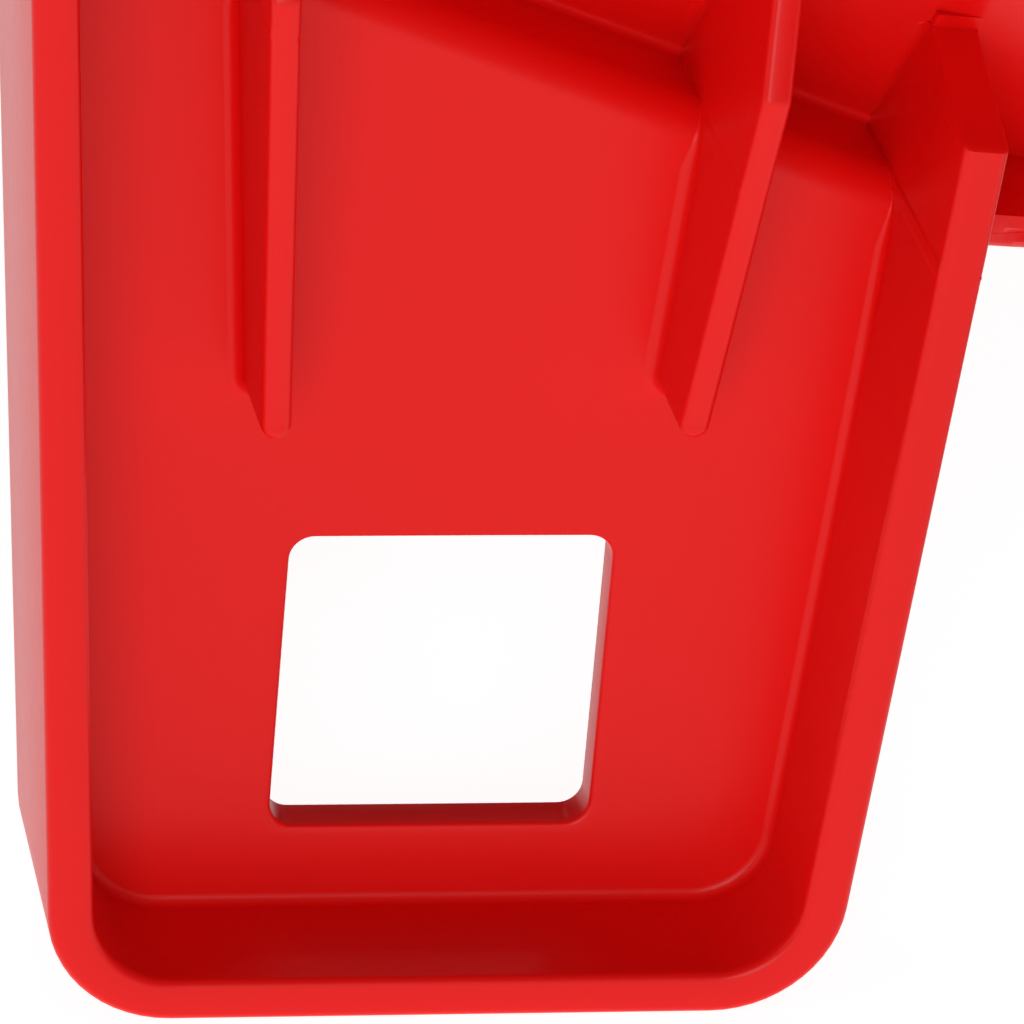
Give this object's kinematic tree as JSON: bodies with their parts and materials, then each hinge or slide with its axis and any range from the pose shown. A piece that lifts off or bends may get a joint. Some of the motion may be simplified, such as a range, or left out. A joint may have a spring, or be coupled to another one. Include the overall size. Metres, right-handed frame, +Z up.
{
  "type": "wheel clamp",
  "caption": "Wheel clamp with two A-shaped cast jaws on a sliding crossbar, wheel bars that enter square windows, and a push-in lock.",
  "frame": {"origin": "centre of the overall box, on the ground plane under the feet", "axes": "+Z up, +Y from the front jaw to the rear jaw along the crossbar, +X from the left legs to the right legs"},
  "size_m": [0.2228, 0.4126, 0.3468],
  "materials": {
    "red_coating": "glossy red powder coat on die-cast metal",
    "black_coating": "satin black powder coat",
    "zinc_steel": "zinc plated steel bar",
    "bright_steel": "bright zinc plated fasteners",
    "chrome_plate": "polished nickel chrome",
    "brass": "turned brass",
    "black_rubber": "moulded black rubber",
    "sleeve_plastic": "soft dark PVC sleeve",
    "black_plastic": "moulded black nylon"
  },
  "bodies": {
    "rear_jaw": {"rear_casting": "red_coating", "crossbar": "zinc_steel", "crossbar_stop_pin": "bright_steel", "crossbar_front_cap": "black_plastic", "crossbar_rear_cap": "black_plastic", "crossbar_bolts": "bright_steel", "crossbar_nuts": "bright_steel", "left_wheel_bar": "zinc_steel", "right_wheel_bar": "zinc_steel", "left_bar_sleeve": "sleeve_plastic", "right_bar_sleeve": "sleeve_plastic", "bar_flange_bolts": "bright_steel", "bar_flange_nuts": "bright_steel", "rear_left_pad": "black_rubber", "rear_right_pad": "black_rubber"},
    "front_jaw": {"front_casting": "red_coating", "front_left_pad": "black_rubber", "front_right_pad": "black_rubber", "bar_bush_front": "black_plastic", "bar_bush_rear": "black_plastic", "lock_housing": "black_coating", "housing_screws": "bright_steel", "travel_pin": "bright_steel", "cover_hinge_pin": "bright_steel", "plunger_spring": "bright_steel"},
    "lock_plunger": {"lock_barrel": "chrome_plate", "barrel_seal": "black_rubber", "locking_bolt": "bright_steel"},
    "key_plug": {"lock_plug": "brass"},
    "dust_cover": {"dust_cover": "black_plastic"}
  },
  "joints": [
    {"name": "jaw_slide", "type": "slide", "parent": "rear_jaw", "child": "front_jaw", "axis": [0, 1, 0], "range_m": [0, 0.144]},
    {"name": "plunger_push", "type": "slide", "parent": "front_jaw", "child": "lock_plunger", "axis": [0, 0, -1], "range_m": [0, 0.012], "stiffness_N_per_m": 300, "springref_m": -0.01, "deforming": ["plunger_spring"]},
    {"name": "plug_turn", "type": "hinge", "parent": "lock_plunger", "child": "key_plug", "pos_m": [0, -0.1673, 0.335], "axis": [0, 0, 1], "range_deg": [0, 90]},
    {"name": "cover_swing", "type": "hinge", "parent": "front_jaw", "child": "dust_cover", "pos_m": [0, -0.1428, 0.3433], "axis": [-1, 0, 0], "range_deg": [0, 110]}
  ]
}
